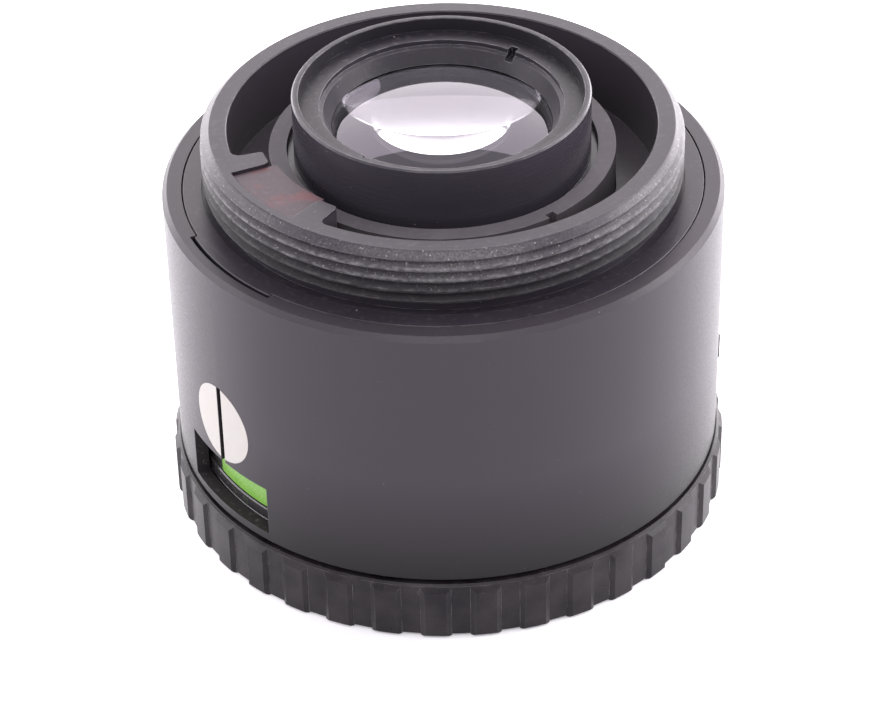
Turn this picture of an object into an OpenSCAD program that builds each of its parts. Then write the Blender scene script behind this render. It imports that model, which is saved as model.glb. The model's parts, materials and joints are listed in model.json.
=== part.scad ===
// Enlarger lens with a 39 mm screw mount, a ribbed aperture ring and a lit aperture scale.
// Millimetres. Z is the optical axis, +Z towards the enlarger, z = 0 on the mounting flange.
// Azimuths are degrees from -Y towards +X, so azimuth 0 is the side that faces the user.

/* [Mount] */
// Crest radius of the mount thread
thread_r = 19.5; // [19.3:0.05:19.6]
// Pitch of the mount thread, 26 turns to the inch
thread_pitch = 0.977; // [0.9:0.001:1.0]
// Height of the threaded collar above the flange
collar_h = 5.3; // [5.1:0.1:6]
// Bore of the threaded collar
throat_r = 17.3; // [17.2:0.05:17.4]
// Radius of the flange disc
flange_r = 21.15; // [21:0.05:21.2]
// Thickness of the flange disc
flange_t = 1.6; // [1.4:0.1:1.6]

/* [Sleeve] */
// Outer radius of the sleeve
sleeve_r = 22.85; // [22.7:0.05:23]
// Length of the sleeve
sleeve_h = 23.8; // [23.6:0.1:23.8]
// Thickness of the sleeve wall
sleeve_t = 1.1; // [1:0.05:1.15]

/* [Light path] */
// Azimuth of the index line, the scale window and the light path
index_az = -53.3; // [-60:0.1:-45]
// Angle that the window and the light path cover
window_sweep = 26.3; // [20:0.1:27]
// Lower edge of the scale window
window_z0 = -22.9; // [-23:0.05:-22.8]
// Upper edge of the scale window
window_z1 = -18.35; // [-18.6:0.05:-18]

/* [Iris] */
// Radius of the full opening
iris_open_r = 7.6; // [7.4:0.1:7.8]
// Smallest f-number of the scale
f_widest = 2.8; // [2.8]
// Turn of a blade for each degree of the aperture ring
blade_ratio = 0.4; // [0.4]
// Radius of the circle of blade pivots
pivot_r = 14; // [14:0.05:14.1]

/* [Aperture ring] */
// Radius of the aperture ring between its ribs
grip_r = 23.15; // [23.1:0.05:23.2]
// Radius over the ribs
rib_r = 23.45; // [23.35:0.05:23.6]
// Number of ribs
rib_count = 36; // [30:1:40]
// Lower face of the aperture ring
grip_z0 = -29.2; // [-29.2:0.05:-29.1]

/* [Optics] */
// Outer radius of the rear cell
cell_r = 12; // [11.9:0.05:12.1]
// Height of the rear cell's rim above the flange
cell_top = 8; // [7.8:0.1:8.5]
// Clear radius of the 40.5 mm filter thread
filter_r = 19.98; // [19.9:0.01:20]
// Lower face of the front barrel, on which the lens stands
front_z = -29.3; // [-29.5:0.05:-29.3]

/* [Hidden] */
$fn = 96;

black = [0.16, 0.15, 0.17];
dark = [0.1, 0.1, 0.11];
grey = [0.45, 0.44, 0.45];
steel = [0.7, 0.7, 0.72];
brass = [0.75, 0.62, 0.35];
glass = [0.8, 0.85, 0.95, 0.5];

// Running clearance on radius, and the smaller gap of a screwed or pressed joint
run = 0.06;
seat = 0.02;
e = 0.01;

// Sleeve and flange
sleeve_in = sleeve_r - sleeve_t;
flange_seat_r = flange_r + 0.1;
ledge_r = 18.6;
ledge_t = 1.18;
screw_circle = 20;
screw_az = [10, 130, 250];
tab_r = flange_r + 0.27;
tab_sweep = 28;
tab_gap = 0.33;
window_az0 = index_az - window_sweep / 2;
window_az1 = index_az + window_sweep / 2;
arm_sweep = 6.9;
arm_t = 1.9;
slit_w = 0.54;
filter_seat_r = 18.1;
filter_seat_z = collar_h - arm_t - 0.05;
slit_z1 = -10.95;

// Lever slot in the sleeve, and the lever
lever_az = 104.5;
lever_turn = 12;
lever_z0 = -21.45;
lever_z1 = -20.93;
lever_in = 18.45;
ramp_top = -20.58;
plunger_drop = 0.28;

// Core, iris stack
core_top = 3.13;
core_r = 14;
core_bore = 12.57;
core_neck_r = 14.45;
chamber_r = 17.4;
chamber_out = 18.4;
chamber_z1 = -7.9;
chamber_z0 = -15.3;
base_z1 = -9.1;
base_t = 0.9;
blade_t = 0.1;
blade_step = 0.16;
blade_z1 = base_z1 - base_t - 0.06;
blade_w = 5.6;
blade_sweep = 108;
follower_len = 5;
follower_dir = -100;
pin_r = 0.4;
pin_gap = 0.05;
cam_z1 = -10.9;
cam_t = 1.2;
cam_r = chamber_r - run;
retainer_z1 = cam_z1 - cam_t - 0.1;
retainer_t = 1;

// Aperture ring, its scale and its drive
ring_z1 = -24.05;
tube_r = 20.84;
tube_z1 = -22.7;
scale_r = 21.6;
scale_z1 = -21.95;
scale_step_z = -23.05;
shelf_z0 = -21.9;
arm_az = 150;
drive_z = cam_z1 - cam_t / 2;
click_az = 126;
click_r = 20.3;
notch_r = 0.55;
notch_up = 0.25;
f_stops = [2.8, 4, 5.6, 8, 11, 16];

// Optical groups: the front doublet mirrors the rear one about the iris
mirror_z = -10.275;
doublet_r = 8.8;

// Opening radius at a turn of the aperture ring, and the turn that gives an f-number
function stop_turn(n) =
    2 * asin((iris_open_r - iris_open_r * f_widest / n) / (2 * pivot_r)) / blade_ratio;
full_turn = stop_turn(16);

function polar(r, a) = [r * cos(a), r * sin(a)];

// A profile of [radius, height] points turned all the way round
module ring(profile) {
    rotate_extrude() polygon(profile);
}

// A profile turned from one azimuth to another
module sector(profile, az0, az1) {
    rotate([0, 0, az0 - 90]) rotate_extrude(angle = az1 - az0) polygon(profile);
}

function box_profile(r0, r1, z0, z1) = [[r0, z0], [r1, z0], [r1, z1], [r0, z1]];

// Puts children, drawn along +X, at an azimuth
module at_az(az) {
    rotate([0, 0, az - 90]) children();
}

// A radial pin from radius r0 to radius r1
module radial_pin(az, z, r0, r1, r) {
    at_az(az) translate([r0, 0, z]) rotate([0, 90, 0]) cylinder(h = r1 - r0, r = r, $fn = 32);
}

// ---------------------------------------------------------------- mount and sleeve

thread_z0 = 0.95;
thread_depth = 0.55;
crest_w = 0.17;

module mount_ring() {
    lead = 0.75;
    floor_z = -0.6;
    groove_z = -0.15;
    groove_r = thread_r + 0.1;
    color(black) difference() {
        union() {
            ring([[core_r + 0.05, -flange_t], [flange_r, -flange_t], [flange_r, 0],
                  [groove_r, 0], [groove_r, groove_z], [18.75, groove_z], [18.75, 0.8],
                  [thread_r, thread_z0], [thread_r, collar_h - lead],
                  [thread_r - lead, collar_h], [throat_r + 0.12, collar_h],
                  [throat_r, collar_h - 0.12], [throat_r, floor_z], [core_r + 0.05, floor_z]]);
            sector(box_profile(flange_r - 0.2, tab_r, -flange_t, 0),
                   index_az - tab_sweep / 2, index_az + tab_sweep / 2);
            sector(box_profile(14.8, throat_r + 0.2, collar_h - arm_t, collar_h),
                   window_az0 - arm_sweep, window_az0 + 0.5);
            sector(box_profile(14.8, throat_r + 0.2, collar_h - arm_t, collar_h),
                   window_az1 - 0.5, window_az1 + arm_sweep);
        }
        for (z = [thread_z0 + crest_w : thread_pitch : collar_h - lead - thread_pitch])
            ring([[thread_r + e, z], [thread_r + e, z + thread_pitch - crest_w],
                  [thread_r - thread_depth, z + (thread_pitch - crest_w) / 2]]);
        sector([[14.3, -flange_t - 1], [throat_r, -flange_t - 1], [throat_r, floor_z + 1],
                [throat_r - 0.5, floor_z + 1], [throat_r - 0.5, filter_seat_z],
                [filter_seat_r, filter_seat_z], [filter_seat_r, collar_h + 1],
                [14.3, collar_h + 1]],
               window_az0, window_az1);
        for (az = screw_az)
            at_az(az) translate([screw_circle, 0, -flange_t - 1])
                cylinder(h = 2, r = 0.8, $fn = 32);
    }
}

module outer_sleeve() {
    edge = 0.4;
    ledge_z1 = -flange_t - seat;
    color(black) difference() {
        ring([[flange_seat_r, ledge_z1], [flange_seat_r, 0], [sleeve_r - edge, 0],
              [sleeve_r, -edge], [sleeve_r, 0.15 - sleeve_h], [sleeve_r - 0.15, -sleeve_h],
              [sleeve_in, -sleeve_h], [sleeve_in, ledge_z1 - ledge_t],
              [ledge_r, ledge_z1 - ledge_t], [ledge_r, ledge_z1]]);
        sector(box_profile(flange_r - 0.5, tab_r + tab_gap, ledge_z1, 1),
               index_az - tab_sweep / 2 - 0.35, index_az + tab_sweep / 2 + 0.35);
        sector(box_profile(sleeve_in - 1, sleeve_r + 1, window_z0, window_z1),
               window_az0, window_az1);
        at_az(index_az) translate([sleeve_in - 1, -slit_w / 2, window_z1 - 1])
            cube([sleeve_t + 2, slit_w, slit_z1 - window_z1 + 1]);
        sector(box_profile(sleeve_in - 1, sleeve_r + 1, lever_z0 - 0.25, ramp_top + 0.2),
               lever_az - 2.4, lever_az + lever_turn + 2.4);
        for (az = screw_az)
            at_az(az) translate([screw_circle, 0, ledge_z1 - ledge_t - 1])
                cylinder(h = 3, r = 0.9, $fn = 32);
    }
}

module sleeve_screws() {
    head_z1 = -flange_t - seat - ledge_t;
    color(steel) for (az = screw_az)
        at_az(az) translate([screw_circle, 0, 0]) difference() {
            union() {
                translate([0, 0, head_z1 - 1]) cylinder(h = 1, r = 1.4, $fn = 32);
                translate([0, 0, head_z1 - 0.5]) cylinder(h = 2.6, r = 0.79, $fn = 32);
            }
            translate([-2, -0.2, head_z1 - 1.5]) cube([4, 0.4, 0.9]);
        }
}

module light_filter() {
    gap_az = 0.5;
    color([0.72, 0.55, 0.58]) sector(
        box_profile(14.35, filter_seat_r - 0.03, filter_seat_z + 0.15, collar_h - 0.25),
        window_az0 + gap_az, window_az1 - 0.1);
}

module light_guide() {
    top = collar_h - 1.85;
    color([0.45, 0.85, 0.3]) sector(
        [[14.6, top], [14.6, -3.4], [18.8, -7.6], [18.8, -19.4], [21.2, -21.8], [21.4, -21.8],
         [21.4, -7.4], [17.1, -3.1], [17.1, top]],
        window_az0 + 0.6, window_az1 - 0.6);
}

// ---------------------------------------------------------------- core and rear group

module core_barrel() {
    wrench_w = 0.8;
    color(grey) difference() {
        ring([[core_bore, core_top], [core_r, core_top], [core_r, -flange_t - seat],
              [core_neck_r, -flange_t - seat], [core_neck_r, chamber_z1],
              [chamber_out, chamber_z1], [chamber_out, chamber_z0], [chamber_r, chamber_z0],
              [chamber_r, base_z1], [9, base_z1], [9, -7], [core_bore, -7]]);
        for (az = [37.4, 217.4])
            at_az(az) translate([core_r - 0.6, -wrench_w / 2, core_top - 1])
                cube([2, wrench_w, 2]);
        sector(box_profile(chamber_r - 1, chamber_out + 1, drive_z - 0.6, drive_z + 0.6),
               arm_az - 2.5, arm_az + full_turn + 2.5);
        for (i = [0 : 2])
            radial_pin(60 + 120 * i, set_z, chamber_r - 1, chamber_out + 1, 0.72);
    }
}

set_z = -14.4;

module barrel_set_screws() {
    color(steel) for (i = [0 : 2]) difference() {
        radial_pin(60 + 120 * i, set_z, chamber_r - 1.2, chamber_out - 0.1, 0.7);
        at_az(60 + 120 * i) translate([chamber_out - 0.5, -0.15, set_z - 1]) cube([1, 0.3, 2]);
    }
}

module rear_cell() {
    color(black) ring([[11.5, cell_top], [cell_r - 0.12, cell_top], [cell_r, cell_top - 0.12],
        [cell_r, 2.5], [core_bore - 0.05, 2.5], [core_bore - 0.05, -6.95], [8.85, -6.95],
        [8.85, -1.75], [8.3, -1.75], [8.3, 3], [10.05, 3], [10.05, 4.9], [11.45, 4.9],
        [11.45, cell_top - 0.05]]);
}

module rear_retaining_ring() {
    slot_w = 0.75;
    color(black) difference() {
        ring([[8.9, 5.12], [10.1, 4.95], [11.43, 4.95], [11.43, 6.9], [9.8, 6.9], [9.8, 6.5],
              [9.5, 6.35]]);
        at_az(143.5) translate([-10.4, -slot_w / 2, 6]) cube([20.8, slot_w, 2]);
    }
}

// A lens between two spherical faces. Each face is [height on the axis, radius of curvature],
// and a positive radius has its centre above the face.
module lens(r, z0, z1, low, high) {
    intersection() {
        translate([0, 0, z0]) cylinder(h = z1 - z0, r = r);
        ball_side(r, z1 - z0, low, 1);
        ball_side(r, z1 - z0, high, -1);
    }
}

// Sides of the ball behind a spherical face: more for a shallow one
function face_fn(c) = abs(c) > 100 ? 360 : 128;

// The side of a spherical face on which the glass lies: 1 above it, -1 below it
module ball_side(r, h, face, side) {
    z = face[0];
    c = face[1];
    if (c * side > 0)
        translate([0, 0, z + c]) sphere(r = abs(c), $fn = face_fn(c));
    else
        difference() {
            translate([0, 0, side > 0 ? z - h : z - 2 * h]) cylinder(h = 3 * h, r = r + 1);
            translate([0, 0, z + c]) sphere(r = abs(c), $fn = face_fn(c));
        }
}

module rear_element() {
    color(glass) lens(10, 2.7, 6.7, [2.8, 120], [6.62, -26]);
}

module rear_doublet_outer() {
    color(glass) lens(doublet_r, -4.65, -0.9, [-4.6, 20], [-0.92, -40]);
}

module rear_doublet_inner() {
    color(glass) lens(doublet_r, -6.3, -2.4, [-5.3, -30], [-4.62, 20]);
}

module rear_doublet_ring() {
    color(dark) ring(box_profile(7.7, 8.84, -6.94, -6.32));
}

// ---------------------------------------------------------------- iris

module iris_base() {
    color(dark) difference() {
        ring(box_profile(iris_open_r, chamber_r - 0.04, base_z1 - base_t, base_z1));
        for (i = [0 : 4])
            rotate([0, 0, 72 * i]) translate([pivot_r, 0, base_z1 - base_t - 1])
                cylinder(h = 2 + base_t, r = pin_r + pin_gap, $fn = 32);
    }
}

// A curved blade on its pivot pin, with its follower pin below
module iris_blade(i) {
    z1 = blade_z1 - i * blade_step;
    z0 = z1 - blade_t;
    cam_z0 = cam_z1 - cam_t + 0.15;
    follower = polar(follower_len, follower_dir);
    color(dark) rotate([0, 0, 72 * i]) {
        rotate([0, 0, -3]) rotate_extrude(angle = blade_sweep + 3)
            polygon(box_profile(iris_open_r, iris_open_r + blade_w, z0, z1));
        translate([pivot_r, 0, z0]) {
            cylinder(h = blade_t, r = 0.9, $fn = 32);
            translate([follower[0], follower[1], 0]) cylinder(h = blade_t, r = 0.8, $fn = 32);
            rotate([0, 0, follower_dir]) translate([0, -0.7, 0]) cube([follower_len, 1.4, blade_t]);
            rotate([0, 0, 180]) translate([0, -0.9, 0]) cube([1.6, 1.8, blade_t]);
        }
        translate([pivot_r, 0, z0])
            cylinder(h = base_z1 - 0.15 - z0, r = pin_r, $fn = 32);
        translate([pivot_r + follower[0], follower[1], cam_z0])
            cylinder(h = z1 - cam_z0, r = pin_r, $fn = 32);
    }
}

// Centre of a follower pin, in the cam ring's own frame, at a turn of the ring
function cam_point(turn) =
    let (p = [pivot_r, 0] + polar(follower_len, follower_dir + blade_ratio * turn),
         r = norm(p), a = atan2(p[1], p[0]) - turn)
    polar(r, a);

module cam_slot() {
    steps = 14;
    over = 1.2;
    half_w = pin_r + pin_gap;
    turns = [for (j = [0 : steps]) -over + j * (full_turn + 2 * over) / steps];
    points = [for (t = turns) cam_point(t)];
    tangents = [for (t = turns) let (d = cam_point(t + 0.5) - cam_point(t - 0.5)) d / norm(d)];
    outer = [for (j = [0 : steps]) points[j] + half_w * [tangents[j][1], -tangents[j][0]]];
    inner = [for (j = [steps : -1 : 0]) points[j] - half_w * [tangents[j][1], -tangents[j][0]]];
    translate([0, 0, cam_z1 - cam_t - 1]) {
        linear_extrude(height = cam_t + 2) polygon(concat(outer, inner));
        for (p = [points[0], points[steps]])
            translate([p[0], p[1], 0]) cylinder(h = cam_t + 2, r = half_w, $fn = 32);
    }
}

module iris_cam_ring() {
    color(brass) difference() {
        ring(box_profile(8.2, cam_r, cam_z1 - cam_t, cam_z1));
        for (i = [0 : 4]) rotate([0, 0, 72 * i]) cam_slot();
        radial_pin(arm_az, drive_z, 16.7, 18, 0.46);
    }
}

module iris_retainer() {
    color(dark) difference() {
        ring(box_profile(8.6, chamber_r - 0.04, retainer_z1 - retainer_t, retainer_z1));
        at_az(20) translate([-12, -0.5, retainer_z1 - retainer_t - 1]) cube([24, 1, 1.4]);
    }
}

// ---------------------------------------------------------------- front group

module front_barrel() {
    filter_pitch = 0.5;
    filter_depth = 0.27;
    top_z = retainer_z1 - retainer_t - 0.1;
    well_z = -26.2;
    color(black) difference() {
        ring([[14.55, top_z], [chamber_r - 0.04, top_z],
              [chamber_r - 0.04, chamber_z0 - seat], [chamber_out, chamber_z0 - seat],
              [chamber_out, lever_z0 - seat - 0.03], [19.1, lever_z0 - seat - 0.03],
              [19.1, shelf_z0], [chamber_out, shelf_z0], [chamber_out, tube_z1],
              [tube_r, tube_z1], [tube_r, -28.3], [21.6, -28.3], [21.6, front_z + 0.15],
              [21.45, front_z], [filter_r + 0.3, front_z], [filter_r, front_z + 0.3],
              [filter_r, well_z], [19.3, well_z], [19.3, -25.3], [14.55, -25.3]]);
        for (i = [0 : 3])
            let (z = front_z + 0.5 + i * filter_pitch)
            ring([[filter_r - e, z], [filter_r - e, z + filter_pitch * 0.8],
                  [filter_r + filter_depth, z + filter_pitch * 0.4]]);
        for (i = [0 : 2])
            radial_pin(60 + 120 * i, set_z, chamber_r - 1.25, chamber_out + 1, 0.72);
    }
}

module front_cell() {
    color(dark) ring([[8.85, -13.6], [14.5, -13.6], [14.5, -25.28], [12.55, -25.28],
        [12.55, -22.9], [10.95, -22.9], [10.95, -21.9], [8.4, -21.9], [8.4, -18.8],
        [8.85, -18.8]]);
}

// Copies a rear piece to the front group
module mirrored() {
    translate([0, 0, 2 * mirror_z]) mirror([0, 0, 1]) children();
}

module front_doublet_inner() {
    color(glass) lens(doublet_r, 2 * mirror_z + 2.4, 2 * mirror_z + 6.3,
        [2 * mirror_z + 4.62, -20], [2 * mirror_z + 5.3, 30]);
}

module front_doublet_outer() {
    color(glass) lens(doublet_r, 2 * mirror_z + 0.9, 2 * mirror_z + 4.65,
        [2 * mirror_z + 0.92, 40], [2 * mirror_z + 4.6, -20]);
}

module front_doublet_ring() {
    mirrored() rear_doublet_ring();
}

module front_element() {
    color(glass) lens(10.9, -24.8, -21.92, [-24.7, 34], [-22.3, 90]);
}

module front_retaining_ring() {
    slot_w = 0.9;
    color(dark) difference() {
        ring([[10, -23.35], [10.9, -22.95], [12.5, -22.95], [12.5, -24.6], [10.6, -24.6]]);
        at_az(70) translate([-13, -slot_w / 2, -26]) cube([26, slot_w, 1.9]);
    }
}

module name_ring() {
    color(black) ring([[12.6, -25.7], [16, -25.8], [19.1, -26.2], [19.25, -26.05],
        [19.25, -25.33], [12.6, -25.33]]);
}

// ---------------------------------------------------------------- aperture ring and drive

module aperture_ring() {
    rib_base_w = 2.5;
    rib_top_w = 1.7;
    edge = 0.12;
    color(black) union() {
        ring([[tube_r + run, -28.2], [scale_r + 0.1, -28.2], [scale_r + 0.1, grip_z0],
              [grip_r - edge, grip_z0], [grip_r, grip_z0 + edge], [grip_r, ring_z1 - 0.15],
              [grip_r - 0.2, ring_z1], [scale_r + seat, ring_z1], [scale_r + seat, -26.4],
              [tube_r + run, -26.4]]);
        intersection() {
            ring([[grip_r - 0.3, grip_z0], [rib_r - edge, grip_z0], [rib_r, grip_z0 + edge],
                  [rib_r, ring_z1 - 0.72], [grip_r - 0.05, ring_z1 - 0.2],
                  [grip_r - 0.3, ring_z1 - 0.2]]);
            for (i = [0 : rib_count - 1])
                at_az(index_az + 360 * i / rib_count) translate([0, 0, grip_z0])
                    linear_extrude(height = ring_z1 - grip_z0)
                    polygon([[grip_r - 0.4, -rib_base_w / 2], [grip_r - 0.01, -rib_base_w / 2],
                             [rib_r, -rib_top_w / 2], [rib_r + 0.1, -rib_top_w / 2],
                             [rib_r + 0.1, rib_top_w / 2], [rib_r, rib_top_w / 2],
                             [grip_r - 0.01, rib_base_w / 2], [grip_r - 0.4, rib_base_w / 2]]);
        }
    }
}

module scale_ring() {
    flange_z0 = -22.5;
    color(dark) difference() {
        ring([[tube_r + run + 0.05, -26.38], [scale_r, -26.38], [scale_r, scale_step_z],
              [scale_r - 0.08, scale_step_z + 0.08], [scale_r - 0.08, scale_z1 - 0.1],
              [scale_r - 0.18, scale_z1], [19.4, scale_z1], [19.4, flange_z0],
              [tube_r + run + 0.05, flange_z0]]);
        for (n = f_stops)
            radial_pin(click_az - stop_turn(n), scale_z1 + notch_up, 19, 22, notch_r);
        for (a = [-2.5, 2.5])
            at_az(arm_az + a) translate([20.75, 0, flange_z0 - 1])
                cylinder(h = 2, r = 0.51, $fn = 32);
    }
}

module drive_arm() {
    foot_t = 0.45;
    color(steel) difference() {
        union() {
            sector(box_profile(19.3, 21.3, scale_z1, scale_z1 + foot_t), arm_az - 4, arm_az + 4);
            sector(box_profile(19.3, 19.95, scale_z1, drive_z + 0.9), arm_az - 3, arm_az + 3);
        }
        radial_pin(arm_az, drive_z, 19, 20.2, 0.46);
        for (a = [-2.5, 2.5])
            at_az(arm_az + a) translate([20.75, 0, scale_z1 - 1])
                cylinder(h = 2, r = 0.51, $fn = 32);
    }
}

module drive_arm_screws() {
    color(brass) for (a = [-2.5, 2.5])
        at_az(arm_az + a) translate([20.75, 0, 0]) {
            translate([0, 0, scale_z1 + 0.45]) cylinder(h = 0.4, r = 0.78, $fn = 32);
            translate([0, 0, -22.48]) cylinder(h = 1.2, r = 0.5, $fn = 32);
        }
}

module drive_pin() {
    color(steel) radial_pin(arm_az, drive_z, 16.72, 19.93, 0.45);
}

// ---------------------------------------------------------------- click stop

module click_bracket() {
    z0 = -19.2;
    color(brass) difference() {
        sector(box_profile(chamber_out + 0.03, 21.6, z0, -15.4), click_az - 4, click_az + 4);
        at_az(click_az) translate([click_r, 0, z0 - 1]) cylinder(h = 4.2, r = 1, $fn = 32);
    }
}

nose_r = 0.45;
nose_gap = 0.03;
collar_z0 = ramp_top + nose_gap;

module click_plunger() {
    nose_z = scale_z1 + nose_gap + nose_r;
    color(steel) at_az(click_az) translate([click_r, 0, 0]) {
        translate([0, 0, nose_z]) sphere(r = nose_r, $fn = 32);
        translate([0, 0, nose_z]) cylinder(h = -17.2 - nose_z, r = nose_r, $fn = 32);
        translate([0, 0, collar_z0]) cylinder(h = 0.4, r = 0.9, $fn = 32);
    }
}

// Coil spring between the bracket's pocket and the plunger's collar
spring_turns = 5;
spring_wire = 0.12;
spring_coil_r = 0.72;
spring_z0 = collar_z0 + 0.4 + spring_wire;
spring_z1 = -16.0 - spring_wire;
spring_ring = 14;
spring_sides = 6;

function spring_point(i) =
    let (n = spring_turns * spring_ring)
    concat(polar(spring_coil_r, 360 * i / spring_ring),
           spring_z0 + (spring_z1 - spring_z0) * i / n);

module click_spring() {
    n = spring_turns * spring_ring;
    points = [for (i = [0 : n], j = [0 : spring_sides - 1])
        let (a = 360 * i / spring_ring, b = 360 * j / spring_sides, p = spring_point(i))
        [p[0] + spring_wire * cos(b) * cos(a), p[1] + spring_wire * cos(b) * sin(a),
         p[2] + spring_wire * sin(b)]];
    sides = [for (i = [0 : n - 1], j = [0 : spring_sides - 1])
        let (k = (j + 1) % spring_sides, a = i * spring_sides, b = a + spring_sides)
        [a + j, b + j, b + k, a + k]];
    first = [for (j = [0 : spring_sides - 1]) j];
    last = [for (j = [spring_sides - 1 : -1 : 0]) n * spring_sides + j];
    color(steel) at_az(click_az) translate([click_r, 0, 0])
        polyhedron(points, concat([first], sides, [last]));
}

// The lever's plate, with a slotted ramp that lifts the plunger's collar and lets it down as the
// lever turns
module click_lever() {
    plate_out = 21.4;
    slot_half = 0.58;
    ramp_in = click_r - 1.2;
    ramp_w = 2;
    low_y = -3.42;
    crest_y = 0.95;
    fall = (crest_y - low_y) * plunger_drop / (click_r * sin(lever_turn));
    color(steel) difference() {
        union() {
            sector(box_profile(lever_in, plate_out, lever_z0, lever_z1),
                   lever_az - 3, click_az + 4);
            at_az(click_az) translate([ramp_in, 0, 0]) rotate([90, 0, 90])
                linear_extrude(height = ramp_w)
                    polygon([[low_y, lever_z1 - 0.2], [crest_y + 0.2, lever_z1 - 0.2],
                             [crest_y + 0.2, ramp_top], [crest_y, ramp_top],
                             [low_y, ramp_top - fall]]);
            sector(box_profile(21, 23.4, lever_z0, ramp_top), lever_az - 1.6, lever_az + 1.6);
        }
        sector(box_profile(click_r - slot_half, click_r + slot_half, lever_z0 - 1, ramp_top + 1),
               click_az - lever_turn - 2, click_az + 5);
    }
}

module lever_knob() {
    knob_z0 = -22.7;
    knob_z1 = -19.95;
    knob_in = sleeve_r + 0.1;
    knob_out = sleeve_r + 1.25;
    color(black) difference() {
        sector([[knob_in, knob_z0], [knob_out - 0.2, knob_z0], [knob_out, knob_z0 + 0.2],
                [knob_out, knob_z1 - 0.2], [knob_out - 0.2, knob_z1], [knob_in, knob_z1]],
               lever_az - 2.9, lever_az + 2.9);
        sector(box_profile(knob_in - 1, 23.43, lever_z0 - seat, ramp_top + seat),
               lever_az - 1.65, lever_az + 1.65);
        for (a = [-1.5, 0, 1.5])
            at_az(lever_az + a) translate([knob_out + 0.12, 0, knob_z0 - 1])
                cylinder(h = 5, r = 0.24, $fn = 24);
    }
}

mount_ring();
outer_sleeve();
sleeve_screws();
light_filter();
light_guide();
core_barrel();
barrel_set_screws();
rear_cell();
rear_retaining_ring();
rear_element();
rear_doublet_outer();
rear_doublet_inner();
rear_doublet_ring();
iris_base();
iris_blade(0);  // iris_blade_1
iris_blade(1);  // iris_blade_2
iris_blade(2);  // iris_blade_3
iris_blade(3);  // iris_blade_4
iris_blade(4);  // iris_blade_5
iris_cam_ring();
iris_retainer();
front_barrel();
front_cell();
front_doublet_inner();
front_doublet_outer();
front_doublet_ring();
front_element();
front_retaining_ring();
name_ring();
aperture_ring();
scale_ring();
drive_arm();
drive_arm_screws();
drive_pin();
click_bracket();
click_plunger();
click_spring();
click_lever();
lever_knob();
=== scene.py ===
"""Looks of the enlarger lens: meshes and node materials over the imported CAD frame.

Lengths in the tables are millimetres, and meshes are made in metres. Azimuths are degrees from -Y
towards +X, so azimuth 0 is the side that faces the user. +Z is the optical axis.
"""

import json
import math

import bpy
from mathutils import Matrix, Vector, noise


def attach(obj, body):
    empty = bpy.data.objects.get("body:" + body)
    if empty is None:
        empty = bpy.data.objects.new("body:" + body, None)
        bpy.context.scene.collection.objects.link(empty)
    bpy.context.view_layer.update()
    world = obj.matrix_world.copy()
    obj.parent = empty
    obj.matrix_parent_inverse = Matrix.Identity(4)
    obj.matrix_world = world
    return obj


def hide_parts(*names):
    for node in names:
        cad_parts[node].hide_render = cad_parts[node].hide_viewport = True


MM = 0.001

# ---------------------------------------------------------------- sizes shared with the CAD source
THREAD_R = 19.5
THREAD_PITCH = 0.977
THREAD_DEPTH = 0.55
CREST_W = 0.17
THREAD_Z0 = 0.95
COLLAR_H = 5.3
LEAD = 0.75
RELIEF_R = 18.75
GROOVE_R = 19.6
GROOVE_Z = -0.15
THROAT_R = 17.3
FILTER_SEAT_R = 18.1
FILTER_SEAT_Z = 3.35
CORE_HOLE_R = 14.05
FLANGE_R = 21.15
FLANGE_T = 1.6
TAB_R = 21.42
TAB_SWEEP = 28
FLOOR_Z = -0.6
ARM_IN = 14.8
ARM_T = 1.9
ARM_SWEEP = 6.9
INDEX_AZ = -53.3
WINDOW_SWEEP = 26.3
WINDOW_AZ0 = INDEX_AZ - WINDOW_SWEEP / 2
WINDOW_AZ1 = INDEX_AZ + WINDOW_SWEEP / 2
SLEEVE_R = 22.85
SLIT_W = 0.54
FRONT_Z = -29.3
IRIS_OPEN_R = 7.6
PIVOT_R = 14.0
BLADE_RATIO = 0.4
F_STOPS = (2.8, 4, 5.6, 8, 11, 16)
SCALE_R = 21.6
MIRROR_Z = -10.275
DOUBLET_R = 8.8
THREAD_START_Z = 0.8
GUIDE_END_AZ = -61.2

# ---------------------------------------------------------------- sizes of the visual meshes alone
THREAD_STEP_Z = 0.034
ROOT_FLAT = 0.03
NICK_DEPTH = 0.05
PAINT_T = 0.018

# ---------------------------------------------------------------- the reference view
VIEW_ELEVATION = 36.15
VIEW_ROLL = -1.24
VIEW_DISTANCE = 263.5
VIEW_TARGET_Z = -18.14
VIEW_LENS = 125.31
SENSOR_W = 36

# ---------------------------------------------------------------- the studio
LIGHT_DISTANCE = 0.8
LIGHT_COLOUR = (1, 0.965, 1)
FLOOR_HALF = 900
FLOOR_GAP = 0.02


# ---------------------------------------------------------------- meshes
def point(r, az, z):
    """A point at a radius, an azimuth and a height."""
    a = math.radians(az)
    return (r * math.sin(a) * MM, -r * math.cos(a) * MM, z * MM)


def make(name, verts, faces, angle=28):
    """A mesh object, smooth but for its sharp edges."""
    mesh = bpy.data.meshes.new(name)
    mesh.from_pydata(verts, [], faces)
    mesh.validate()
    mesh.shade_smooth()
    mesh.set_sharp_from_angle(angle=math.radians(angle))
    obj = bpy.data.objects.new(name, mesh)
    bpy.context.scene.collection.objects.link(obj)
    return obj


def loops(columns, closed):
    """Quads between columns of points. Each column is one closed profile."""
    count, size = len(columns), len(columns[0])
    faces = []
    for i in range(count if closed else count - 1):
        k = (i + 1) % count
        for j in range(size):
            m = (j + 1) % size
            faces.append((i * size + j, k * size + j, k * size + m, i * size + m))
    if not closed:
        faces.append(tuple(reversed(range(size))))
        faces.append(tuple(range((count - 1) * size, count * size)))
    return faces


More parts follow.
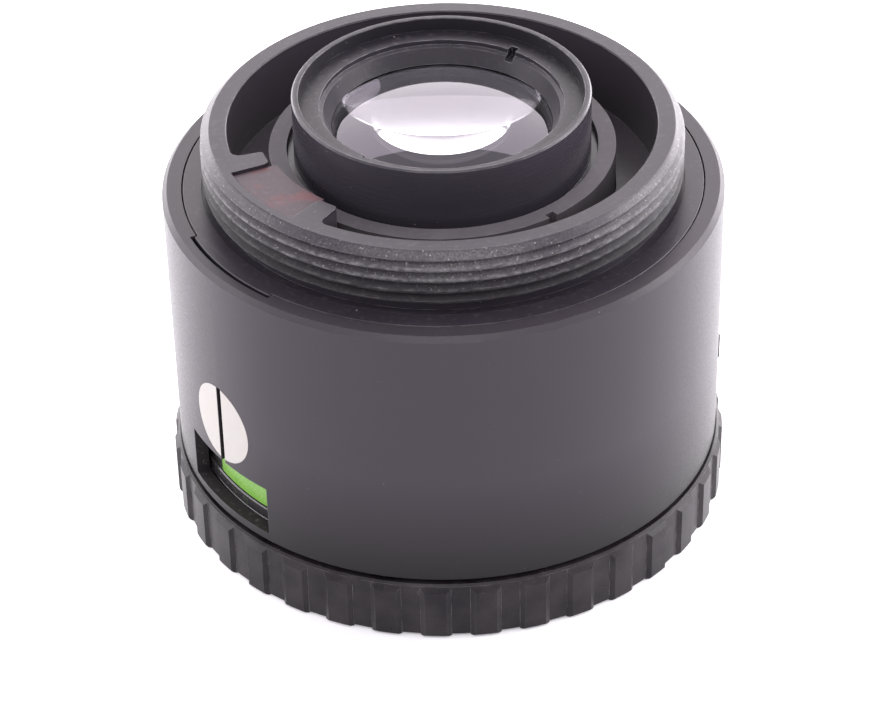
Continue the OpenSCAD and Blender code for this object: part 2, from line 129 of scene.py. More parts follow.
def thread_radius(az, z):
    """The mount thread's surface: a right-hand helix between its lead-in and its relief."""
    turn = (z - THREAD_Z0 - CREST_W / 2) / THREAD_PITCH - az / 360
    off = abs(turn - round(turn)) * THREAD_PITCH - CREST_W / 2
    flank = THREAD_DEPTH / ((THREAD_PITCH - CREST_W) / 2)
    r = THREAD_R - min(max(off, 0) * flank, THREAD_DEPTH - ROOT_FLAT)
    nick = noise.noise(Vector((az * 0.35, z * 3.1, 0.4)))
    r -= NICK_DEPTH * max(nick - 0.25, 0)
    r = min(r, THREAD_R - max(z - (COLLAR_H - LEAD), 0))
    rise = max(z - THREAD_START_Z, 0) / (THREAD_Z0 - THREAD_START_Z)
    return min(r, RELIEF_R + rise * (THREAD_R - RELIEF_R))


def eased(s, radius):
    """How far a rounded corner of that radius has come in at a distance s from its edge."""
    if s >= radius:
        return 0
    return radius - math.sqrt(radius**2 - (radius - max(s, 0)) ** 2)


def throat_inner(az):
    """The bore of the collar's upper part, which the arms narrow and the filter's seat widens."""
    bore = FILTER_SEAT_R if WINDOW_AZ0 < az < WINDOW_AZ1 else THROAT_R
    per_degree = math.radians(THROAT_R)
    for az0, az1, fillet0, fillet1 in (
        (WINDOW_AZ0 - ARM_SWEEP, WINDOW_AZ0, 0.9, 0.12),
        (WINDOW_AZ1, WINDOW_AZ1 + ARM_SWEEP, 0.12, 0.5),
    ):
        before, after = (az0 - az) * per_degree, (az - az1) * per_degree
        if before <= 0 and after <= 0:
            return ARM_IN + eased(-before, 0.25) + eased(-after, 0.45)
        if 0 < before < fillet0:
            return bore - eased(before, fillet0)
        if 0 < after < fillet1:
            return bore - eased(after, fillet1)
    return bore


def azimuths():
    """Azimuths for the mount ring: even ones, and closer ones about each step in it."""
    found = {i - 180.0 for i in range(360)}
    for s in (WINDOW_AZ0 - ARM_SWEEP, WINDOW_AZ0, WINDOW_AZ1, WINDOW_AZ1 + ARM_SWEEP):
        found |= {s + k * 0.15 for k in range(-20, 21) if k}
        found |= {s - 0.004, s + 0.004}
    for s in (INDEX_AZ - TAB_SWEEP / 2, INDEX_AZ + TAB_SWEEP / 2):
        found |= {s - 0.05, s + 0.05}
    return sorted(found)


def mount_ring():
    """Flange, threaded collar and arms in one turned and milled piece."""
    count = int((COLLAR_H - 0.02 - THREAD_START_Z) / THREAD_STEP_Z)
    rows = [THREAD_START_Z + THREAD_STEP_Z * k for k in range(count)]
    columns = []
    for az in azimuths():
        outer = TAB_R if abs(az - INDEX_AZ) < TAB_SWEEP / 2 else FLANGE_R
        inner = throat_inner(az)
        hole, under = CORE_HOLE_R, COLLAR_H - ARM_T
        if WINDOW_AZ0 < az < WINDOW_AZ1:
            hole, under = THROAT_R - 0.02, FILTER_SEAT_Z
        column = [(hole, -FLANGE_T), (outer, -FLANGE_T), (outer, -0.05), (outer - 0.05, 0)]
        column += [(GROOVE_R, 0), (GROOVE_R, GROOVE_Z), (RELIEF_R, GROOVE_Z), (RELIEF_R, 0.78)]
        column += [(thread_radius(az, z), z) for z in rows]
        column += [(THREAD_R - LEAD - ROOT_FLAT, COLLAR_H)]
        column += [(inner + 0.1, COLLAR_H), (inner, COLLAR_H - 0.08)]
        column += [(inner, under), (THROAT_R, under - 0.01)]
        column += [(THROAT_R, FLOOR_Z), (hole, FLOOR_Z)]
        columns.append([point(r, az, z) for r, z in column])
    verts = [p for c in columns for p in c]
    obj = make("mount_ring_turned", verts, loops(columns, True), 34)
    return wear(obj, "root", "mount_ring")


def wear(obj, body, *nodes):
    """Puts a piece on its body, in place of its CAD nodes."""
    if nodes:
        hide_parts(*nodes)
    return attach(obj, body)


def face_height(face, r):
    """Height of a spherical lens face at a radius.

    A face is its height on the axis and its radius of curvature.
    """
    z, c = face
    side = 1 if c > 0 else -1
    return z + c - side * math.sqrt(c * c - r * r)


def lens_element(name, node, radius, z0, z1, low, high, cemented=None):
    """A lens with smooth spherical faces. Its cemented face, if any, takes the second material."""
    steps, count = 36, 160  # points across the radius, and round the axis
    rs = [radius * k / steps for k in range(steps + 1)]
    upper = [(r, min(face_height(high, r), z1)) for r in rs]
    lower = [(r, max(face_height(low, r), z0)) for r in reversed(rs)]
    profile = upper[1:] + lower[:-1]
    size = len(profile)
    verts = [point(r, 360 * i / count, z) for i in range(count) for r, z in profile]
    top, bottom = len(verts), len(verts) + 1
    verts += [point(0, 0, upper[0][1]), point(0, 0, lower[-1][1])]
    faces = []
    for i in range(count):
        k = (i + 1) % count
        for j in range(size - 1):
            faces.append((i * size + j, i * size + j + 1, k * size + j + 1, k * size + j))
        faces.append((i * size, k * size, top))
        faces.append((k * size + size - 1, i * size + size - 1, bottom))
    obj = make(name, verts, faces, 50)
    for polygon in obj.data.polygons:
        x, y, z = polygon.center / MM
        r = min(math.hypot(x, y), radius)
        if cemented and abs(z - face_height(cemented, r)) < 0.02:
            polygon.material_index = 1
    return wear(obj, "root", node)


def flipped(face):
    """A rear face as its mirror image in the front group."""
    return (2 * MIRROR_Z - face[0], -face[1])


def lenses():
    """The six lens elements: radius, lowest and highest edge, and the two faces of each."""
    rear = (10, 2.7, 6.7, (2.8, 120), (6.62, -26))
    front = (10.9, -24.8, -21.92, (-24.7, 34), (-22.3, 90))
    made = [
        lens_element("rear_element_glass", "rear_element", *rear),
        lens_element("front_element_glass", "front_element", *front),
    ]
    for part, z0, z1, low, high, joined in (
        ("doublet_outer", -4.65, -0.9, (-4.6, 20), (-0.92, -40), (-4.6, 20)),
        ("doublet_inner", -6.3, -2.4, (-5.3, -30), (-4.62, 20), (-4.62, 20)),
    ):
        shape = (DOUBLET_R, z0, z1, low, high, joined)
        made.append(lens_element(f"rear_{part}_glass", f"rear_{part}", *shape))
        z0, z1 = 2 * MIRROR_Z - z1, 2 * MIRROR_Z - z0
        shape = (DOUBLET_R, z0, z1, flipped(high), flipped(low), flipped(joined))
        made.append(lens_element(f"front_{part}_glass", f"front_{part}", *shape))
    return made


def index_half(name, side):
    """One half of the white index disc, a thin layer of paint on the sleeve."""
    disc_r, centre_z, sunk = 3.5, -14.5, 0.03
    rows, across = 48, 12
    inner_x = SLIT_W / 2 + 0.02
    reach = math.sqrt(disc_r**2 - inner_x**2) - 0.004
    verts, size = [], across + 1
    for radius in (SLEEVE_R + PAINT_T, SLEEVE_R - sunk):
        for i in range(rows + 1):
            h = -reach * math.cos(math.pi * i / rows)
            outer_x = math.sqrt(disc_r**2 - h * h)
            for j in range(size):
                x = inner_x + (outer_x - inner_x) * j / across
                az = INDEX_AZ + math.degrees(side * x / SLEEVE_R)
                verts.append(point(radius, az, centre_z + h))
    layer = (rows + 1) * size
    faces = []
    for i in range(rows):
        for j in range(across):
            a = i * size + j
            quad = (a, a + 1, a + size + 1, a + size)
            faces.append(quad if side > 0 else quad[::-1])
            back = tuple(layer + k for k in quad)
            faces.append(back[::-1] if side > 0 else back)
    rim = list(range(size))
    rim += [i * size + across for i in range(1, rows + 1)]
    rim += [rows * size + j for j in range(across - 1, -1, -1)]
    rim += [i * size for i in range(rows - 1, 0, -1)]
    for a, b in zip(rim, rim[1:] + rim[:1]):
        wall = (a, layer + a, layer + b, b)
        faces.append(wall if side > 0 else wall[::-1])
    return wear(make(name, verts, faces), "root")


def stop_turn(n):
    """Turn of the aperture ring that gives an f-number."""
    shut = IRIS_OPEN_R - IRIS_OPEN_R * F_STOPS[0] / n
    return math.degrees(2 * math.asin(shut / (2 * PIVOT_R))) / BLADE_RATIO


def numeral(n):
    """An f-number on the scale ring, standing a hair off its surface."""
    text = f"{n:g}"
    size, squat, centre_z = 2.1, 0.42, -22.6
    face_r = SCALE_R - 0.074
    curve = bpy.data.curves.new("figure", "FONT")
    curve.body = text
    curve.size = size * MM
    curve.align_x = "CENTER"
    curve.align_y = "CENTER"
    curve.extrude = 0.01 * MM
    curve.resolution_u = 4
    flat = bpy.data.objects.new("figure", curve)
    bpy.context.scene.collection.objects.link(flat)
    bpy.context.view_layer.update()
    evaluated = flat.evaluated_get(bpy.context.evaluated_depsgraph_get())
    shape = bpy.data.meshes.new_from_object(evaluated)
    bpy.data.objects.remove(flat)
    centre = INDEX_AZ - stop_turn(n)
    for v in shape.vertices:
        az = centre + math.degrees(v.co.x / MM / SCALE_R)
        v.co = Vector(point(face_r + v.co.z / MM, az, centre_z + v.co.y / MM * squat))
    name = "scale_figure_" + text.replace(".", "_")
    shape.name = name
    obj = bpy.data.objects.new(name, shape)
    bpy.context.scene.collection.objects.link(obj)
    return wear(obj, "aperture")


# ---------------------------------------------------------------- materials
class Finish:
    """A node material, and short ways to add nodes to it."""

    def __init__(self, name, colour, roughness, **constants):
        self.material = bpy.data.materials.new(name)
        self.material.use_nodes = True
        self.tree = self.material.node_tree
        self.tree.nodes.clear()
        self.out = self.node("ShaderNodeOutputMaterial")
        self.shader = self.node("ShaderNodeBsdfPrincipled")
        self.tree.links.new(self.shader.outputs[0], self.out.inputs["Surface"])
        self.place = self.node("ShaderNodeTexCoord").outputs["Object"]
        self.colour = self.rgb(colour)
        self.rough = roughness
        self.heights = []
        self.round = 0
        for socket, value in constants.items():
            self.shader.inputs[socket.replace("_", " ")].default_value = value

    def node(self, kind, **settings):
        made = self.tree.nodes.new(kind)
        for key, value in settings.items():
            setattr(made, key, value)
        return made

    def feed(self, socket, value):
        if isinstance(value, bpy.types.NodeSocket):
            self.tree.links.new(value, socket)
        else:
            socket.default_value = value

    def rgb(self, colour):
        made = self.node("ShaderNodeRGB")
        made.outputs[0].default_value = (*colour, 1)
        return made.outputs[0]

    def math(self, operation, a, b=0.0, clamp=False):
        made = self.node("ShaderNodeMath", operation=operation, use_clamp=clamp)
        self.feed(made.inputs[0], a)
        self.feed(made.inputs[1], b)
        return made.outputs[0]

    def between(self, value, low, high, to_low=0.0, to_high=1.0):
        """value carried from low..high to to_low..to_high, and held at the ends."""
        made = self.node("ShaderNodeMapRange", clamp=True)
        for i, v in enumerate((value, low, high, to_low, to_high)):
            self.feed(made.inputs[i], v)
        return made.outputs[0]

    def mix(self, share, a, b):
        made = self.node("ShaderNodeMix", data_type="RGBA")
        self.feed(made.inputs["Factor"], share)
        self.feed(made.inputs[6], a)
        self.feed(made.inputs[7], b)
        return made.outputs[2]

    def paint(self, share, colour):
        """Lays a colour over what is there."""
        self.colour = self.mix(share, self.colour, self.rgb(colour))

    def noise(self, grain_mm, detail=3.0, vector=None, stretch=None):
        """Noise with features of about that size."""
        vector = vector or self.place
        if stretch:
            mapping = self.node("ShaderNodeMapping")
            mapping.inputs["Scale"].default_value = stretch
            self.feed(mapping.inputs["Vector"], vector)
            vector = mapping.outputs[0]
        made = self.node("ShaderNodeTexNoise")
        made.inputs["Scale"].default_value = 1 / (grain_mm * MM)
        made.inputs["Detail"].default_value = detail
        self.feed(made.inputs["Vector"], vector)
        return made.outputs[0]

    def axes(self):
        """x, y, z, radius and azimuth in radians."""
        split = self.node("ShaderNodeSeparateXYZ")
        self.feed(split.inputs[0], self.place)
        x, y, z = split.outputs
        squares = self.math("ADD", self.math("MULTIPLY", x, x), self.math("MULTIPLY", y, y))
        radius = self.math("SQRT", squares)
        azimuth = self.math("ARCTAN2", x, self.math("MULTIPLY", y, -1.0))
        return x, y, z, radius, azimuth

    def roughen(self, pattern, amount):
        """Roughness that goes up and down with a pattern."""
        change = self.between(pattern, 0.3, 0.7, -amount, amount)
        self.rough = self.math("ADD", self.rough, change)

    def turned(self, pitch_mm, depth_mm, amount=0.05):
        """Fine rings that a lathe tool leaves round the axis, in height and in roughness."""
        slow = 0.0004
        _, _, z, radius, azimuth = self.axes()
        around = self.node("ShaderNodeCombineXYZ")
        self.feed(around.inputs[0], radius)
        self.feed(around.inputs[1], z)
        self.feed(around.inputs[2], self.math("MULTIPLY", azimuth, slow))
        rings = self.noise(pitch_mm, 2.0, around.outputs[0])
        self.heights.append((rings, depth_mm))
        self.roughen(rings, amount)
        return rings

    def varied(self, patch_mm, share, colour):
        """Uneven patches of a second colour."""
        self.paint(self.between(self.noise(patch_mm, 4.0), 0.35, 0.75, 0.0, share), colour)

    def grained(self, grain_mm, depth_mm, amount=0.06):
        """A fine grain in the height and in the roughness."""
        grain = self.noise(grain_mm, 2.0)
        self.heights.append((grain, depth_mm))
        self.roughen(grain, amount)

    def edges(self, radius_mm, low=0.02, high=0.22):
        """1 at edges, 0 away from them."""
        self.round = radius_mm
        bevel = self.node("ShaderNodeBevel", samples=6)
        bevel.inputs["Radius"].default_value = radius_mm * MM
        normal = self.node("ShaderNodeNewGeometry").outputs["Normal"]
        dot = self.node("ShaderNodeVectorMath", operation="DOT_PRODUCT")
        self.feed(dot.inputs[0], bevel.outputs[0])
        self.feed(dot.inputs[1], normal)
        return self.between(self.math("SUBTRACT", 1.0, dot.outputs["Value"]), low, high)

    def edge_wear_and_highlight(self, radius_mm, share, colour, roughness=None):
        """Edges painted a lighter colour, here more and there less: scuffing, and on some finishes
        a painted highlight along the edge.
        """
        uneven = self.between(self.noise(1.3, 5.0), 0.38, 0.62)
        mask = self.math("MULTIPLY", self.edges(radius_mm), self.math("MULTIPLY", uneven, share))
        self.paint(mask, colour)
        if roughness is not None:
            self.rough = self.between(mask, 0.0, 1.0, self.rough, roughness)

    def specks(self, spacing_mm, size, share):
        """Small separate spots, in that share of the cells of that spacing."""
        made = self.node("ShaderNodeTexVoronoi")
        made.inputs["Scale"].default_value = 1 / (spacing_mm * MM)
        self.feed(made.inputs["Vector"], self.place)
        pick = self.node("ShaderNodeSeparateColor")
        self.feed(pick.inputs[0], made.outputs["Color"])
        chosen = self.math("GREATER_THAN", pick.outputs[0], 1 - share)
        reach = self.between(pick.outputs[1], 0.0, 1.0, size * 0.4, size)
        inside = self.math("LESS_THAN", made.outputs["Distance"], reach)
        return self.math("MULTIPLY", chosen, inside)

    def facing_up(self, low=0.1, high=0.9):
        """1 where the surface faces up."""
        split = self.node("ShaderNodeSeparateXYZ")
        self.feed(split.inputs[0], self.node("ShaderNodeNewGeometry").outputs["Normal"])
        return self.between(split.outputs[2], low, high)

    def dusty(self, amount, colour=(0.55, 0.52, 0.5)):
        """Loose dust: separate specks anywhere, and a thin film where the surface faces up."""
        large = self.math("MULTIPLY", self.specks(1.7, 0.035, 0.16), 0.8)
        small = self.math("MULTIPLY", self.specks(0.45, 0.09, 0.1), 0.5)
        both = self.math("MAXIMUM", large, small)
        film = self.between(self.noise(0.5, 6.0), 0.55, 0.8)
        film = self.math("MULTIPLY", film, self.facing_up())
        both = self.math("MAXIMUM", both, self.math("MULTIPLY", film, 0.06))
        self.paint(self.math("MULTIPLY", both, amount, True), colour)

    def done(self):
        """Joins colour, roughness and heights to the shader."""
        self.feed(self.shader.inputs["Base Color"], self.colour)
        self.feed(self.shader.inputs["Roughness"], self.rough)
        normal = None
        if self.round:
            bevel = self.node("ShaderNodeBevel", samples=4)
            bevel.inputs["Radius"].default_value = self.round * MM
            normal = bevel.outputs[0]
        for height, depth in self.heights:
            bump = self.node("ShaderNodeBump")
            bump.inputs["Strength"].default_value = 1.0
            bump.inputs["Distance"].default_value = depth * MM
            self.feed(bump.inputs["Height"], height)
            if normal is not None:
                self.feed(bump.inputs["Normal"], normal)
            normal = bump.outputs[0]
        if normal is not None:
            self.feed(self.shader.inputs["Normal"], normal)
        return self.material


def anodised_black():
    f = Finish("anodised_black", (0.026, 0.023, 0.028), 0.42, Specular_IOR_Level=0.35)
    f.turned(0.25, 0.003, 0.03)
    f.varied(5, 0.35, (0.036, 0.032, 0.038))
    f.edge_wear_and_highlight(0.06, 0.7, (0.3, 0.29, 0.31), 0.35)
    f.dusty(0.6)
    return f.done()


def mount_black():
    """The mount: as the other anodised parts, with crests and edges scuffed by many lens boards;
    the crests also carry a painted highlight, and the lower thread turns a painted shade.
    """
    f = Finish("mount_black", (0.022, 0.018, 0.025), 0.34, Specular_IOR_Level=0.3)
    rings = f.turned(0.3, 0.004, 0.03)
    f.varied(3.5, 0.35, (0.034, 0.03, 0.038))
    f.paint(f.between(rings, 0.6, 0.74, 0.0, 0.3), (0.06, 0.056, 0.063))
    _, _, z, radius, _ = f.axes()
    inside = f.between(radius, 17.35 * MM, 17.4 * MM, 1.0, 0.0)
    bore = f.math("MULTIPLY", inside, f.between(z, 5 * MM, 5.2 * MM, 1.0, 0.0))
    f.paint(f.math("MULTIPLY", bore, 0.8), (0.04, 0.034, 0.042))
    outside = f.between(radius, 18.6 * MM, 18.9 * MM)
    thread = f.math("MULTIPLY", outside, f.between(z, 0.7 * MM, 0.9 * MM))
    # painted shade: the lower turns of the thread, next to the flange, are painted darker and made
    # rougher
    low = f.math("MULTIPLY", thread, f.between(z, 1.8 * MM, 3.6 * MM, 0.9, 0.0))
    upper = f.between(z, 1.6 * MM, 3.4 * MM, 0.12, 1.0)
    f.paint(low, (0.006, 0.004, 0.007))
    f.rough = f.between(low, 0.0, 1.0, f.rough, 0.6)
    streaks = f.noise(0.16, 3.0, stretch=(1, 1, 0.25))
    patches = f.between(f.noise(6, 2.0), 0.4, 0.6, 0.35, 1.0)
    packed = f.math("MULTIPLY", f.between(z, 2.2 * MM, 3.6 * MM), patches)
    packed = f.math("MULTIPLY", packed, f.between(streaks, 0.38, 0.62, 0.3, 1.0))
    f.paint(f.math("MULTIPLY", f.math("MULTIPLY", thread, packed), 0.6), (0.12, 0.115, 0.12))
    # thread crests painted lighter: partly scuffing, partly a painted highlight along the crests,
    # fading towards the flange
    crest = f.math("MULTIPLY", thread, f.between(radius, 19.3 * MM, 19.47 * MM))
    crest_wear_and_glint = f.between(f.noise(0.6, 6.0, stretch=(1, 1, 2)), 0.4, 0.64)
    crest = f.math("MULTIPLY", crest, upper)
    f.paint(f.math("MULTIPLY", f.math("MULTIPLY", crest, crest_wear_and_glint), 0.65), (0.17, 0.165, 0.175))
    grit = f.between(f.noise(0.2, 4.0), 0.64, 0.7)
    grit = f.math("MULTIPLY", f.math("MULTIPLY", thread, grit), upper)
    f.paint(f.math("MULTIPLY", grit, 0.5), (0.45, 0.42, 0.4))
    top_edge = f.between(z, 4.9 * MM, 5.1 * MM, 0.5, 1.3)
    uneven = f.math("MULTIPLY", top_edge, f.between(f.noise(1.3, 5.0), 0.36, 0.56))
    f.paint(f.math("MULTIPLY", f.edges(0.05), uneven, True), (0.34, 0.33, 0.35))
    f.dusty(0.8)
    return f.done()


def cell_black():
    """Glossy outside, with a painted highlight along its rim edges, and darker and dusty within
    its rim.
    """
    f = Finish("cell_black", (0.031, 0.027, 0.035), 0.27, Specular_IOR_Level=0.32)
    f.turned(0.22, 0.0005, 0.015)
    f.varied(3, 0.4, (0.036, 0.032, 0.041))
    _, _, _, radius, _ = f.axes()
    within = f.between(radius, 11.65 * MM, 11.8 * MM, 1.0, 0.0)
    dark = f.math("MULTIPLY", within, f.between(radius, 9.9 * MM, 10.3 * MM, 0.4, 0.85))
    f.paint(dark, (0.01, 0.008, 0.012))
    f.rough = f.between(within, 0.0, 1.0, f.rough, 0.42)
    # painted highlight: a bright line painted along the rim edges of the cell
    f.edge_wear_and_highlight(0.05, 1.6, (0.5, 0.48, 0.51), 0.25)
    uneven = f.between(f.noise(1.6, 3.0), 0.42, 0.58)
    grit = f.math("MULTIPLY", f.specks(0.42, 0.13, 0.12), uneven)
    f.paint(f.math("MULTIPLY", grit, within), (0.6, 0.57, 0.54))
    f.dusty(1.2)
    return f.done()


def matte_black():
    f = Finish("matte_black", (0.012, 0.011, 0.013), 0.68, Specular_IOR_Level=0.3)
    f.turned(0.15, 0.01)
    f.varied(2, 0.5, (0.022, 0.02, 0.023))
    f.edge_wear_and_highlight(0.05, 0.3, (0.12, 0.12, 0.13))
    f.dusty(0.5)
    return f.done()


def grey_metal():
    f = Finish("grey_metal", (0.085, 0.078, 0.087), 0.55, Specular_IOR_Level=0.15)
    f.turned(0.25, 0.003, 0.03)
    f.varied(2, 0.4, (0.115, 0.107, 0.118))
    f.edge_wear_and_highlight(0.05, 0.7, (0.4, 0.39, 0.4), 0.3)
    f.dusty(0.9)
    return f.done()


def sleeve_plastic():
    """Satin outside with a painted shade darkening it towards its lower end, and unfinished and
    dark in the cut walls of its window and slit.
    """
    f = Finish("sleeve_plastic", (0.034, 0.029, 0.0355), 0.34, Specular_IOR_Level=0.25)
    f.grained(0.16, 0.003)
    f.varied(9, 0.35, (0.038, 0.032, 0.041))
    _, _, z, radius, _ = f.axes()
    # painted shade: the sleeve is darkened towards its lower end, in place of the darker
    # surroundings it reflects near its base
    f.paint(f.between(z, -24 * MM, -14 * MM, 0.95, 0.0), (0.003, 0.002, 0.003))
    within = f.between(radius, 22.72 * MM, 22.8 * MM, 1.0, 0.0)
    cut = f.math("MULTIPLY", within, f.between(z, -2 * MM, -1.6 * MM, 1.0, 0.0))
    f.paint(f.math("MULTIPLY", cut, 0.85), (0.015, 0.013, 0.014))
    f.rough = f.between(cut, 0.0, 1.0, f.rough, 0.7)
    lint = f.math("MULTIPLY", cut, f.between(f.noise(0.3, 5.0), 0.6, 0.74, 0.0, 0.5))
    f.paint(lint, (0.16, 0.15, 0.14))
    f.edge_wear_and_highlight(0.07, 0.5, (0.2, 0.19, 0.21), 0.3)
    f.dusty(0.3)
    return f.done()


def grip_plastic():
    f = Finish("grip_plastic", (0.006, 0.004, 0.007), 0.32, Specular_IOR_Level=0.22)
    f.grained(0.12, 0.005)
    f.varied(3.2, 0.8, (0.03, 0.026, 0.027))
    f.edge_wear_and_highlight(0.045, 1.2, (0.27, 0.26, 0.27), 0.28)
    f.dusty(0.6)
    return f.done()


def scale_black():
    f = Finish("scale_black", (0.028, 0.026, 0.028), 0.2, Specular_IOR_Level=0.5)
    f.turned(0.2, 0.002, 0.03)
    f.varied(1.5, 0.5, (0.03, 0.028, 0.03))
    f.edge_wear_and_highlight(0.05, 0.7, (0.22, 0.21, 0.21))
    uneven = f.between(f.noise(1.2, 3.0), 0.42, 0.56)
    grit = f.math("MULTIPLY", f.specks(0.3, 0.16, 0.16), uneven)
    f.paint(f.math("MULTIPLY", grit, 0.8), (0.4, 0.37, 0.35))
    f.dusty(1.2)
    return f.done()


def filter_red():
    """A dark red panel under a grey bloom of dust."""
    f = Finish("filter_red", (0.05, 0.034, 0.042), 0.38, Specular_IOR_Level=0.25)
    f.grained(0.3, 0.004)
    f.varied(0.7, 0.4, (0.07, 0.05, 0.06))
    bare = f.between(f.noise(2.4, 3.0), 0.52, 0.66)
    f.paint(f.math("MULTIPLY", bare, 0.7), (0.11, 0.03, 0.035))
    f.dusty(0.9)
    return f.done()


def guide_green():
    """Clear green acrylic, painted black but for the end that lights the scale, which is given a
    painted glow.
    """
    f = Finish("guide_green", (0.115, 0.27, 0.04), 0.3, Specular_IOR_Level=0.4)
    f.varied(1.2, 0.5, (0.16, 0.33, 0.06))
    _, _, z, _, azimuth = f.axes()
    start = math.radians(GUIDE_END_AZ)
    side = f.between(azimuth, start, start + math.radians(0.3), 1.0, 0.0)
    above = f.between(z, -17.9 * MM, -17.2 * MM)
    black = f.math("MAXIMUM", side, above)
    f.paint(black, (0.012, 0.011, 0.01))
    f.grained(0.2, 0.003)
    f.dusty(0.2)
    # painted glow: emission stands in for light passing through the green acrylic to its bare end
    glow = f.mix(black, f.rgb((0.07, 0.12, 0.01)), f.rgb((0, 0, 0)))
    f.feed(f.shader.inputs["Emission Color"], glow)
    f.shader.inputs["Emission Strength"].default_value = 0.35
    return f.done()


def coated_glass():
    f = Finish(
        "coated_glass",
        (0.97, 0.96, 0.98),
        0.0,
        IOR=1.78,
        Transmission_Weight=1.0,
        Specular_Tint=(0.92, 0.85, 1.0, 1),
    )
    f.rough = f.between(f.noise(2.5, 5.0), 0.5, 0.8, 0.0, 0.012)
    f.varied(4, 0.3, (0.93, 0.93, 0.96))
    return f.done()


def cement():
    """The joint of a cemented doublet, which light passes without being bent."""
    f = Finish(
        "cement",
        (0.99, 0.985, 0.97),
        0.0,
        IOR=1.0,
        Transmission_Weight=1.0,
        Specular_IOR_Level=0.0,
    )
    f.varied(3, 0.2, (0.985, 0.98, 0.96))
    return f.done()


def steel():
    f = Finish("steel", (0.33, 0.32, 0.32), 0.36, Metallic=1.0)
    f.turned(0.08, 0.004, 0.08)
    f.varied(1.2, 0.5, (0.24, 0.23, 0.225))
    f.edge_wear_and_highlight(0.04, 0.4, (0.6, 0.59, 0.58))
    f.dusty(0.3)
    return f.done()


def spring_steel():
    f = Finish("spring_steel", (0.42, 0.4, 0.39), 0.26, Metallic=1.0)
    f.grained(0.05, 0.002, 0.1)
    f.varied(0.6, 0.5, (0.3, 0.27, 0.25))
    return f.done()


def blade_steel():
    f = Finish("blade_steel", (0.03, 0.03, 0.034), 0.42, Metallic=0.5)
    f.grained(0.08, 0.002, 0.1)
    f.varied(1.5, 0.6, (0.055, 0.055, 0.065))
    f.edge_wear_and_highlight(0.03, 0.5, (0.3, 0.3, 0.32))
    return f.done()


def brass():
    f = Finish("brass", (0.62, 0.44, 0.18), 0.3, Metallic=1.0)
    f.turned(0.08, 0.004, 0.08)
    f.varied(1.5, 0.6, (0.42, 0.28, 0.11))
    f.edge_wear_and_highlight(0.05, 0.5, (0.8, 0.64, 0.34))
    f.dusty(0.3)
    return f.done()


def index_white():
    f = Finish("index_white", (0.41, 0.395, 0.375), 0.5, Specular_IOR_Level=0.4)
    f.grained(0.25, 0.003)
    f.varied(1.4, 0.5, (0.39, 0.365, 0.34))
    f.paint(f.math("MULTIPLY", f.specks(0.8, 0.05, 0.12), 0.5), (0.3, 0.27, 0.25))
    return f.done()


def scale_figures():
    """The figures show by light from behind: unlit, they are a little lighter than the ring."""
    f = Finish("scale_figures", (0.03, 0.036, 0.028), 0.3, Specular_IOR_Level=0.5)
    f.varied(0.5, 0.5, (0.045, 0.055, 0.04))
    f.grained(0.1, 0.002)
    return f.done()


def floor_white():
    """A pale table, lit from below towards its back, and clear when seen from beneath."""
    f = Finish("floor_white", (0.8, 0.8, 0.82), 0.6, Specular_IOR_Level=0.3)
    f.varied(60, 0.3, (0.77, 0.77, 0.79))
    f.grained(0.6, 0.01)
    _, y, _, _, _ = f.axes()
    back = f.between(y, -30 * MM, 15 * MM)
    glow = f.mix(back, f.rgb((0, 0, 0)), f.rgb((1.0, 0.97, 1.0)))
    f.feed(f.shader.inputs["Emission Color"], glow)
    f.shader.inputs["Emission Strength"].default_value = 0.9
    clear = f.node("ShaderNodeMixShader")
    f.feed(clear.inputs[0], f.node("ShaderNodeNewGeometry").outputs["Backfacing"])
    f.feed(clear.inputs[1], f.shader.outputs[0])
    f.feed(clear.inputs[2], f.node("ShaderNodeBsdfTransparent").outputs[0])
    f.feed(f.out.inputs["Surface"], clear.outputs[0])
    return f.done()


def cover(obj, *materials):
    """Puts materials on a piece. With more than one, each face keeps its own."""
    keep = [p.material_index for p in obj.data.polygons] if len(materials) > 1 else []
    obj.data.materials.clear()
    for material in materials:
        obj.data.materials.append(material)
    if keep:
        obj.data.polygons.foreach_set("material_index", keep)


# ---------------------------------------------------------------- stage
def floor():
    """The table, a hair below the lens so that the two faces don't flicker."""
    corners = [(-1, -1), (1, -1), (1, 1), (-1, 1)]
    half, z = FLOOR_HALF * MM, (FRONT_Z - FLOOR_GAP) * MM
    verts = [(x * half, y * half, z) for x, y in corners]
    obj = make("floor", verts, [(0, 1, 2, 3)])
    cover(obj, floor_white())


def soft_light(name, azimuth, elevation, width, height, radiance, colour=LIGHT_COLOUR):
    """An oval light that faces the lens. Sizes are in metres."""
    light = bpy.data.lights.new(name, "AREA")
    light.shape = "ELLIPSE"
    light.size, light.size_y = width, height
    light.energy = radiance * math.pi * width * height * math.pi / 4
    light.color = colour
    obj = bpy.data.objects.new(name, light)
    bpy.context.scene.collection.objects.link(obj)
    a, e = math.radians(azimuth), math.radians(elevation)
    out = Vector((math.sin(a) * math.cos(e), -math.cos(a) * math.cos(e), math.sin(e)))
    obj.location = out * LIGHT_DISTANCE
    obj.rotation_euler = out.to_track_quat("Z", "Y").to_euler()


def sky(radiance, colour=LIGHT_COLOUR):
    """Even light from all round."""
    world = bpy.data.worlds.new("studio")
    world.use_nodes = True
    background = world.node_tree.nodes["Background"]
    background.inputs["Color"].default_value = (*colour, 1)
    background.inputs["Strength"].default_value = radiance
    bpy.context.scene.world = world


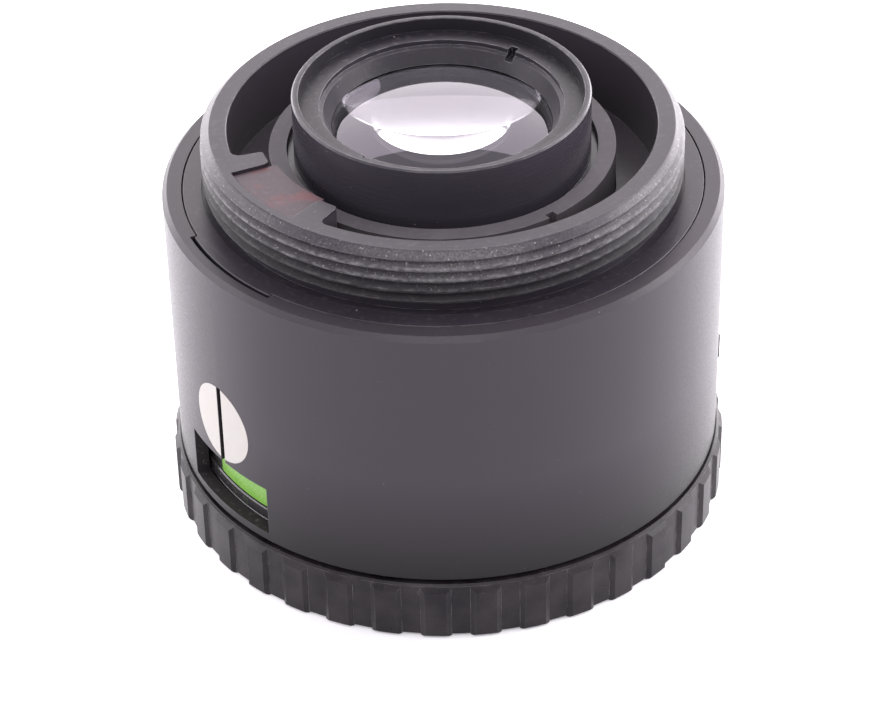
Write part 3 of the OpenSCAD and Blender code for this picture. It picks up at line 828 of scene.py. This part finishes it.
def camera():
    """The viewpoint of the reference view."""
    elevation, roll = math.radians(VIEW_ELEVATION), math.radians(VIEW_ROLL)
    c, s = math.cos(elevation), math.sin(elevation)
    forward = Vector((0, c, -s))
    right, up = Vector((1, 0, 0)), Vector((0, s, c))
    right, up = (
        math.cos(roll) * right + math.sin(roll) * up,
        math.cos(roll) * up - math.sin(roll) * right,
    )
    data = bpy.data.cameras.new("camera")
    data.sensor_width = SENSOR_W
    data.lens = VIEW_LENS
    data.clip_start, data.clip_end = 0.01, 10
    obj = bpy.data.objects.new("camera", data)
    bpy.context.scene.collection.objects.link(obj)
    place = (-forward * VIEW_DISTANCE + Vector((0, 0, VIEW_TARGET_Z))) * MM
    turn = Matrix((right, up, -forward)).transposed().to_4x4()
    obj.matrix_world = Matrix.Translation(place) @ turn
    bpy.context.scene.camera = obj


def studio():
    """Light, floor and camera. The softbox makes the white bowl in the rear glass.

    A light's numbers are its azimuth and elevation, its width and height, and its radiance.
    """
    sky(1.3)
    soft_light("softbox", 180, 29, 2.1, 0.85, 2.07, (1, 0.95, 0.97))
    soft_light("right", 108, 40, 0.56, 0.56, 3.0)
    soft_light("back_right", 138, 5, 0.5, 0.28, 8, (1, 0.97, 1))
    soft_light("back_left", -138, 5, 0.5, 0.28, 5, (1, 0.97, 1))
    soft_light("front_top", -5, 56, 0.56, 0.4, 2.2)
    soft_light("side_right", 95, 15, 0.68, 0.56, 6)
    soft_light("side_left", -95, 15, 0.68, 0.56, 4)
    bpy.context.scene.view_settings.view_transform = "Standard"
    floor()
    camera()


# ---------------------------------------------------------------- scene
def build(frame):
    """Materials on every CAD node, and the pieces that add to the nodes or replace them."""
    finishes = {
        f.__name__: f()
        for f in (
            anodised_black, cell_black, matte_black, grey_metal, sleeve_plastic,
            grip_plastic, scale_black, filter_red, guide_green, coated_glass, steel,
            spring_steel, blade_steel, brass,
        )
    }
    slots = {s["node"]: s["material_slot"] for s in frame["record"]["subparts"]}
    for node, obj in frame["nodes"].items():
        cover(obj, finishes[slots[node]])
    mount = mount_ring()
    cover(mount, mount_black())
    joint = cement()
    for glass in lenses():
        cover(glass, finishes["coated_glass"], joint)
    white = index_white()
    for name, side in (("index_mark_left", -1), ("index_mark_right", 1)):
        cover(index_half(name, side), white)
    figures = scale_figures()
    for n in F_STOPS:
        cover(numeral(n), figures)


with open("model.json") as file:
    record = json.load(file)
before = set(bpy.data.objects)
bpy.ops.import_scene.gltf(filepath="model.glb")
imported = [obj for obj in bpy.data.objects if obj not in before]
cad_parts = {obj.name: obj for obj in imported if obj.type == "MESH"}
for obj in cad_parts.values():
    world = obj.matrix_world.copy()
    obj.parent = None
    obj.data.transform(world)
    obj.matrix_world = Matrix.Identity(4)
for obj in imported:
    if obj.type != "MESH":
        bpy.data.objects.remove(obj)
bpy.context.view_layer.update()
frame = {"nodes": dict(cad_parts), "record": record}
build(frame)
studio()
